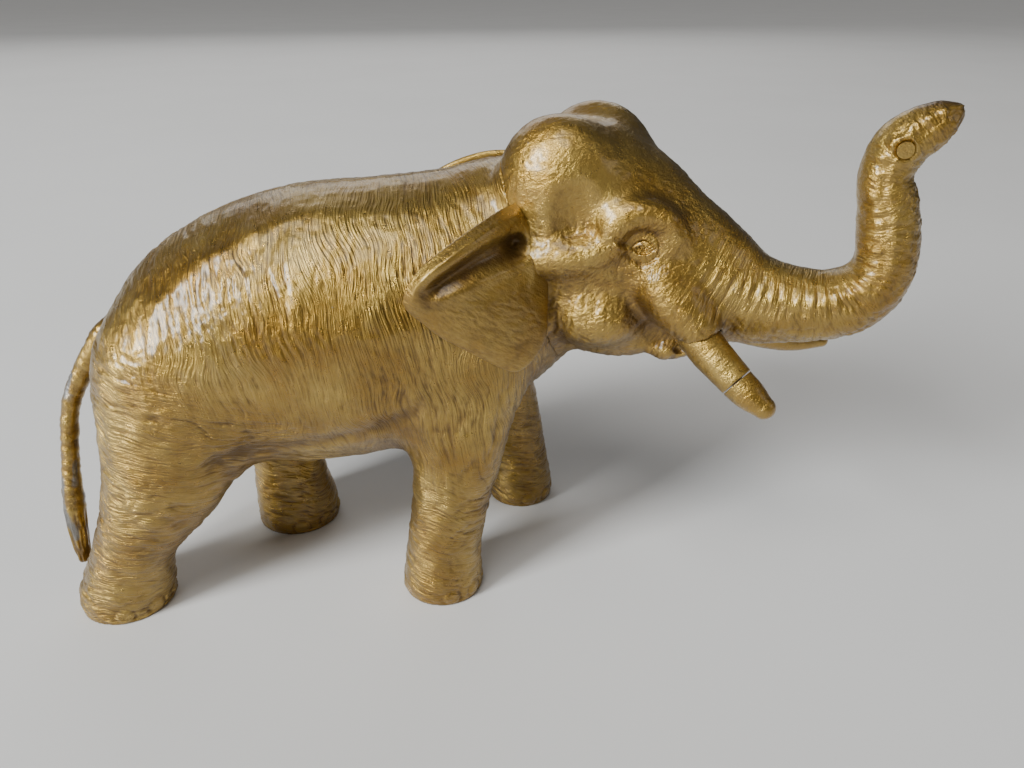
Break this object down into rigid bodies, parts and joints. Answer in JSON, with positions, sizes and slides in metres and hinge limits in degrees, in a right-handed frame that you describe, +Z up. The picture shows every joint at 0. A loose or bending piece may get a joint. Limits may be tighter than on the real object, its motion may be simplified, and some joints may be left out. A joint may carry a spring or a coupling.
{
  "type": "cast iron still bank",
  "caption": "Coin bank in the shape of a striding elephant with raised trunk: two body halves screwed round a head casting, slot in the back and a swivel trap in the belly.",
  "frame": {"origin": "on the surface that it stands on, under the middle of its bounding box", "axes": "+X forward along the body, +Y to the animal's left, +Z up"},
  "size_m": [0.2117, 0.0873, 0.1324],
  "materials": {
    "gold_paint": "gold bronze paint over cast iron, brown in the creases, rubbed bright on the high places",
    "screw_steel": "plain turned steel, dull"
  },
  "bodies": {
    "bank": {"torso_right_half": "gold_paint", "torso_left_half": "gold_paint", "head_casting": "gold_paint", "trunk_plug": "gold_paint", "ear_right": "gold_paint", "ear_left": "gold_paint", "tusk_right": "gold_paint", "tusk_right_tip": "gold_paint", "tusk_left": "gold_paint", "tail": "gold_paint", "tusk_dowel": "screw_steel", "body_screw_front": "screw_steel", "body_screw_rear": "screw_steel", "trap_pivot_screw": "screw_steel", "trap_spring_washer": "screw_steel", "trap_stop_pin": "screw_steel"},
    "trap": {"trap_door": "gold_paint"}
  },
  "joints": [
    {"name": "trap_swing", "type": "hinge", "parent": "bank", "child": "trap", "pos_m": [-0.032, 0.0207, 0.044], "axis": [0, 0.5592, -0.829], "range_deg": [0, 85]}
  ]
}
